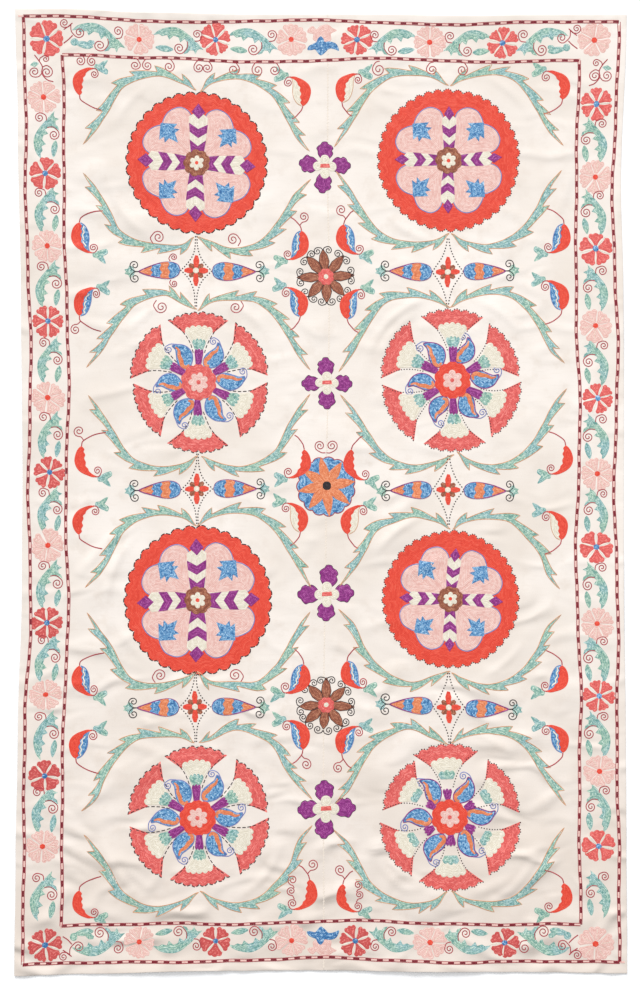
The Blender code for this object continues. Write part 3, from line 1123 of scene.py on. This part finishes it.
# %% A single row of stitching
def row_mesh(path, width, level):
    """The flat points, heights, triangles and row map of one raised row, four-sided in section."""
    path = stepped(path if level < 0 else wander(path), ROW_STEP)
    heading = np.gradient(path)
    heading = heading / np.maximum(np.abs(heading), 1e-9)
    along = np.concatenate([[0], np.cumsum(np.abs(np.diff(path)))])
    count = len(path)
    offsets = np.array([0.5, ROW_CROWN, -ROW_CROWN, -0.5])
    points = (path + 1j * heading * width * offsets[:, None]).ravel()
    heights = np.repeat([-ROOT, ROW_HEIGHT, ROW_HEIGHT, -ROOT], count) + LEVEL * level
    k = np.arange(count - 1)
    quads = []
    for first, second in ((0, 1), (1, 2), (2, 3), (3, 0)):
        a, b = k + first * count, k + second * count
        quads += [np.column_stack([a, b, b + 1]), np.column_stack([a, b + 1, a + 1])]
    last = count - 1
    ends = [[0, 3 * count, count], [count, 3 * count, 2 * count]]
    ends += [[last, last + count, last + 3 * count], [last + count, last + 2 * count, last + 3 * count]]
    triangles = np.concatenate(quads + [np.array(ends)])[:, ::-1]
    sides = np.repeat(width * (0.5 - offsets), count)
    return points, heights, triangles, np.column_stack([np.tile(along, 4), sides]) * MM


# %% Each thread's stitching, joined into one piece
def stitched(name):
    """All the patches and rows of one thread, as one mesh."""
    made = [patch_mesh(outline, level) for outline, level in patches.get(name, ())]
    made += [row_mesh(path, width, level) for path, width, level in lines.get(name, ())]
    flat, heights, faces, rows_map = zip(*made)
    starts = np.cumsum([0] + [len(points) for points in flat[:-1]])
    points = on_cloth(np.concatenate(flat), np.concatenate(heights))
    triangles = np.concatenate([face + start for face, start in zip(faces, starts)])
    rows_map = np.concatenate(rows_map)
    mesh = bpy.data.meshes.new(name)
    mesh.from_pydata(points.tolist(), [], triangles.tolist())
    spots = mesh.uv_layers.new(name="rows").uv
    spots.foreach_set("vector", rows_map[triangles.ravel()].ravel())
    mesh.shade_smooth()
    mesh.set_sharp_from_angle(angle=math.radians(SHARP_EDGE))
    piece = bpy.data.objects.new(name, mesh)
    bpy.context.scene.collection.objects.link(piece)
    print(f"{name}: {len(made)} shapes, {len(triangles)} triangles")
    return piece


stitching = {name: stitched(name) for name in sorted(set(patches) | set(lines))}
print("triangles of stitching:", sum(len(piece.data.polygons) for piece in stitching.values()))

# %% [markdown]
# ## Silk finishes
#
# The ground is silk satin: smooth, softly shining, never quite one colour, with fine slubs
# and tiny puckers. Its soft stained patches are partly painted shade of folds, and painted
# shade darkens it towards the bottom. The threads are glossy floss silk, dyed in small lots,
# so each colour shifts from row to row; part of that streaking is painted sheen, and the
# grooves between rows are painted shade. Colours are sRGB hex values, turned to Blender's
# linear ones.


# %% Helpers for materials
def linear(colour):
    """A hex colour as the linear one that a shader wants."""
    parts = [int(colour[i : i + 2], 16) / 255 for i in (1, 3, 5)]
    return tuple(p / 12.92 if p <= 0.04045 else ((p + 0.055) / 1.055) ** 2.4 for p in parts) + (1.0,)


def add(tree, kind, inputs, out=0, **settings):
    """Adds one node, sets its properties, fills or links its inputs, and gives one of its outputs."""
    made = tree.nodes.new("ShaderNode" + kind)
    for name, value in settings.items():
        setattr(made, name, value)
    for name, value in inputs.items():
        if isinstance(value, bpy.types.NodeSocket):
            tree.links.new(value, made.inputs[name])
        else:
            made.inputs[name].default_value = value
    return made.outputs[out]


def new_material(name):
    """A material with its shader, and its tree."""
    material = bpy.data.materials.new(name)
    material.use_nodes = True
    return material, material.node_tree, material.node_tree.nodes["Principled BSDF"]


def tinted(tree, colour, pattern, none_at, full_at, tint, most=1.0):
    """A colour with a tint over it, where a pattern goes from one value to another."""
    inputs = {"Value": pattern, "From Min": none_at, "From Max": full_at, "To Max": most}
    share = add(tree, "MapRange", inputs)
    return add(tree, "Mix", {0: share, 6: colour, 7: linear(tint)}, 2, data_type="RGBA")


# %% Ivory silk satin
# How many of each pattern there are to a metre. Stains, partly painted shade of folds, are
# about 310 mm long and spots 48 mm. Slubs are 33 mm long and 5 mm apart. Crumples are 110 mm
# by 67 mm.
STAINS_AND_SHADE = 3.2
SPOTS = 21.0
SLUBS = (30.0, 190.0, 1.0)
CRUMPLES = (9.0, 15.0, 1.0)


def silk_satin():
    """Woven silk: long floats of thread that shine, slubs, soft stained patches and fine puckers.

    The patches are partly painted shade of folds, and painted shade darkens the silk lower down.
    """
    material, tree, shader = new_material("ivory_silk_satin")
    place = add(tree, "TexCoord", {}, "Object")
    up_cloth = add(tree, "SeparateXYZ", {0: place}, "Y")
    stains_and_shade = add(tree, "TexNoise", {"Vector": place, "Scale": STAINS_AND_SHADE, "Detail": 3.0, "Roughness": 0.6})
    spots = add(tree, "TexNoise", {"Vector": place, "Scale": SPOTS, "Detail": 4.0, "Roughness": 0.62})
    along_weft = add(tree, "Mapping", {"Vector": place, "Scale": SLUBS})
    slubs = add(tree, "TexNoise", {"Vector": along_weft, "Scale": 1.0, "Detail": 3.0})
    # Painted shade: this stain tint is partly real staining and partly the soft shade of folds.
    colour = tinted(tree, linear("#EFE7E0"), stains_and_shade, 0.38, 0.66, "#E3D9CF")
    colour = tinted(tree, colour, spots, 0.52, 0.80, "#E1D6CC")
    colour = tinted(tree, colour, slubs, 0.54, 1.25, "#E1D6CC")
    # Painted shade: the silk is darkened towards the bottom of the cloth.
    colour = tinted(tree, colour, up_cloth, -0.2, -1.0, "#D3C3B6", most=0.40)
    tree.links.new(colour, shader.inputs["Base Color"])
    crumpled = add(tree, "Mapping", {"Vector": place, "Scale": CRUMPLES})
    ridged = {"Vector": crumpled, "Scale": 1.0, "Detail": 2.0, "Roughness": 0.4, "Distortion": 0.6}
    creases = add(tree, "TexNoise", ridged, noise_type="RIDGED_MULTIFRACTAL")
    lower_down = {"Value": up_cloth, "From Min": -0.2, "From Max": -0.9, "To Min": 0.35, "To Max": 1.10}
    strength = add(tree, "MapRange", lower_down)
    drawn = add(tree, "Math", {0: creases, 1: strength}, operation="MULTIPLY")
    creased = add(tree, "Bump", {"Height": drawn, "Strength": 0.8, "Distance": 0.02})
    slubbed = {"Height": slubs, "Strength": 0.12, "Distance": 0.0006, "Normal": creased}
    tree.links.new(add(tree, "Bump", slubbed), shader.inputs["Normal"])
    shader.inputs["Roughness"].default_value = 0.46
    shader.inputs["Specular IOR Level"].default_value = 0.35
    shader.inputs["Sheen Weight"].default_value = 0.15
    shader.inputs["Sheen Roughness"].default_value = 0.4
    return material


# %% Floss silk thread, dyed
# Real rows are about 1.3 mm apart, and are drawn wider to show.
ROW_PITCH = 0.0032
# How many there are to a metre: wavers of a row, flecks, dye lots and links of the chain. They are
# about 11, 4, 59 and 2.4 mm long.
WAVERS = 90.0
FLECKS = 260.0
LOTS = 17.0
LINKS = 420.0


def floss(name, colour, dark, light, mottled, grain, shift, deeper):
    """Chain-stitched silk floss, with a soft gloss along its rows.

    Its colour streaks to a dark and a light one, the more so the more mottled it is: the
    streaks are partly uneven dye and partly painted sheen. The grooves between its rows are
    painted darker, as shade. It may shift to a second dye in places, and the border's may be
    deeper lower down the cloth.
    """
    material, tree, shader = new_material(name)
    place = add(tree, "TexCoord", {}, "Object")
    rows = add(tree, "UVMap", {}, uv_map="rows")
    along, across = add(tree, "SeparateXYZ", {0: rows}).node.outputs[:2]
    waver = add(tree, "TexNoise", {"Vector": place, "Scale": WAVERS, "Detail": 2.0})
    even = add(tree, "Math", {0: across, 1: ROW_PITCH}, operation="DIVIDE")
    phase = add(tree, "Math", {0: waver, 1: 1.1, 2: even}, operation="MULTIPLY_ADD")
    turn = add(tree, "Math", {0: phase, 1: 2 * math.pi}, operation="MULTIPLY")
    wave = add(tree, "Math", {0: turn}, operation="SINE")
    by_row = add(tree, "CombineXYZ", {0: along, 1: phase})
    by_row = add(tree, "Mapping", {"Vector": by_row, "Scale": (grain, 0.6, 1.0)})
    by_row = add(tree, "TexNoise", {"Vector": by_row, "Scale": 1.0, "Detail": 3.0, "Roughness": 0.6})
    flecks = add(tree, "TexNoise", {"Vector": place, "Scale": FLECKS, "Detail": 2.0, "Roughness": 0.6})
    streaks = add(tree, "Math", {0: flecks, 1: 0.5, 2: by_row}, operation="MULTIPLY_ADD")
    base = linear(colour)
    if shift:
        lot = add(tree, "TexNoise", {"Vector": place, "Scale": LOTS, "Detail": 2.0})
        base = tinted(tree, base, lot, 0.42, 0.60, shift)
    if deeper:
        low_colour, from_height = deeper
        x, y = add(tree, "SeparateXYZ", {0: place}).node.outputs[:2]
        from_middle = add(tree, "Math", {0: y}, operation="ABSOLUTE")
        ends = add(tree, "MapRange", {"Value": from_middle, "From Min": 0.95, "From Max": 1.0})
        left = add(tree, "MapRange", {"Value": x, "From Min": -0.5, "From Max": -0.6})
        border = add(tree, "Math", {0: left, 1: ends}, operation="MAXIMUM")
        base = tinted(tree, base, y, from_height, -0.5, low_colour, most=border)
    # Painted sheen: the dark and light streaks are partly uneven dye and partly rows that catch the light
    # differently.
    tint = tinted(tree, base, streaks, 0.76, 0.88, dark, most=mottled)
    tint = tinted(tree, tint, streaks, 0.74, 0.62, light, most=mottled)
    # Painted shade: the grooves between rows are darkened.
    tint = tinted(tree, tint, wave, 0.2, -1.6, dark)
    tree.links.new(tint, shader.inputs["Base Color"])
    links = add(tree, "TexNoise", {"Vector": place, "Scale": LINKS, "Detail": 1.0})
    height = add(tree, "Math", {0: links, 1: 1.2, 2: wave}, operation="MULTIPLY_ADD")
    bump = add(tree, "Bump", {"Height": height, "Strength": 0.5, "Distance": 0.0003})
    tree.links.new(bump, shader.inputs["Normal"])
    shader.inputs["Roughness"].default_value = 0.5
    shader.inputs["Specular IOR Level"].default_value = 0.3
    shader.inputs["Sheen Weight"].default_value = 0.1
    return material


# Each thread has its colour, its dark and its light, how mottled it is, how short its streaks are, the
# dye it shifts to, and the deeper colour of its border with the height in metres that it starts from.
THREADS = (
    ("scarlet", "#E64D39", "#CF3626", "#F26B56", 0.55, 42, None, None),
    ("coral", "#E4655F", "#C64E4D", "#F5928A", 0.8, 60, None, ("#BE4A48", 1.2)),
    ("pink", "#E9C4BB", "#DBA79E", "#F3D9D1", 0.7, 50, None, None),
    ("blue", "#65A0CC", "#2E6198", "#B4D6EF", 1.0, 130, None, ("#3074AC", 3.0)),
    ("teal", "#A5C5AE", "#63958E", "#D2E5D8", 1.0, 120, "#9ABFC6", None),
    ("purple", "#943185", "#711C68", "#B862A8", 0.85, 50, None, None),
    ("brown", "#9C5C44", "#773E2D", "#C38668", 0.85, 50, None, None),
    ("orange", "#E48A5E", "#CB6A42", "#F3AC86", 0.85, 60, None, None),
    ("cream", "#E8E1D1", "#D5CCB8", "#F5EFE1", 0.7, 50, None, None),
    ("gold", "#D6A27C", "#BE8761", "#E3BC9C", 0.5, 60, None, None),
    ("maroon", "#7E1C2B", "#64131F", "#98303F", 0.5, 60, None, None),
    ("rose", "#AE3B46", "#922A36", "#C45C66", 0.5, 60, None, None),
    ("slate", "#7F88BD", "#626CA6", "#A5ACCF", 0.5, 60, None, None),
    ("black", "#2A2024", "#191315", "#453A3D", 0.5, 60, None, None),
    ("ivory", "#EEE3D7", "#E4D8CA", "#F4EBE1", 0.5, 60, None, None),
)
floss_of = {thread: floss(thread + "_floss", *dye) for thread, *dye in THREADS}
print(len(floss_of), "colours of floss")

# %% Each piece gets its finish, and goes with the cloth
satin = silk_satin()
for panel, node in ((panel_left, "panel_left"), (panel_right, "panel_right")):
    panel.data.materials.append(satin)
    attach(panel, "root")
    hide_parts(node)
for name, piece in stitching.items():
    thread = name.split("_")[-1]
    piece.data.materials.append(floss_of[thread])
    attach(piece, "root")

# %% [markdown]
# ## The floor, the light and the camera
#
# The cloth lies on a plain white floor. Soft daylight comes in low over its top edge, a little
# from the left, so that folds and stitching cast faint shades towards the bottom. A wide lamp
# above and the pale room fill the rest. The camera looks straight down, from high enough to
# take in the whole cloth.

# %% Floor
FLOOR_SIZE = 14
FLOOR_GAP = 0.0004
bpy.ops.object.select_all(action="DESELECT")
bpy.ops.mesh.primitive_plane_add(size=FLOOR_SIZE, location=(0, 0, -FLOOR_GAP))
floor = bpy.context.object
floor.name = "floor"
paint, tree, shader = new_material("white_paint")
shader.inputs["Base Color"].default_value = linear("#FBFCFE")
shader.inputs["Roughness"].default_value = 0.9
shader.inputs["Specular IOR Level"].default_value = 0.1
floor.data.materials.append(paint)

# %% Light
DAY_STRENGTH = 2.45
DAY_SPREAD = 20
DAY_TURN = (59, 0, 192)
LAMP_PLACE = (0.4, 0.9, 4.2)
LAMP_SIZE = 2.4
LAMP_POWER = 37
LAMP_TILT = -10
ROOM_STRENGTH = 0.57
bpy.ops.object.light_add(type="SUN", location=(2, 2, 3))
day = bpy.context.object
day.data.energy = DAY_STRENGTH
day.data.angle = math.radians(DAY_SPREAD)
day.rotation_euler = [math.radians(turn) for turn in DAY_TURN]
bpy.ops.object.light_add(type="AREA", location=LAMP_PLACE)
lamp = bpy.context.object
lamp.data.size = LAMP_SIZE
lamp.data.energy = LAMP_POWER
lamp.rotation_euler = (math.radians(LAMP_TILT), 0, 0)
world = bpy.data.worlds.new("pale_room")
bpy.context.scene.world = world
world.use_nodes = True
world.node_tree.nodes["Background"].inputs["Color"].default_value = linear("#FFFFFF")
world.node_tree.nodes["Background"].inputs["Strength"].default_value = ROOM_STRENGTH

# %% Camera
LENS = 60
SENSOR = 36
VIEW_LENGTH = 2.2514
VIEW_CENTRE = (-0.0017, -0.0006)
CAMERA_HEIGHT = VIEW_LENGTH * LENS / SENSOR
bpy.ops.object.camera_add(location=(*VIEW_CENTRE, CAMERA_HEIGHT), rotation=(0, 0, 0))
camera = bpy.context.object
camera.data.lens = LENS
camera.data.sensor_width = SENSOR
camera.data.clip_end = 50
bpy.context.scene.camera = camera
bpy.context.scene.view_settings.view_transform = "Standard"
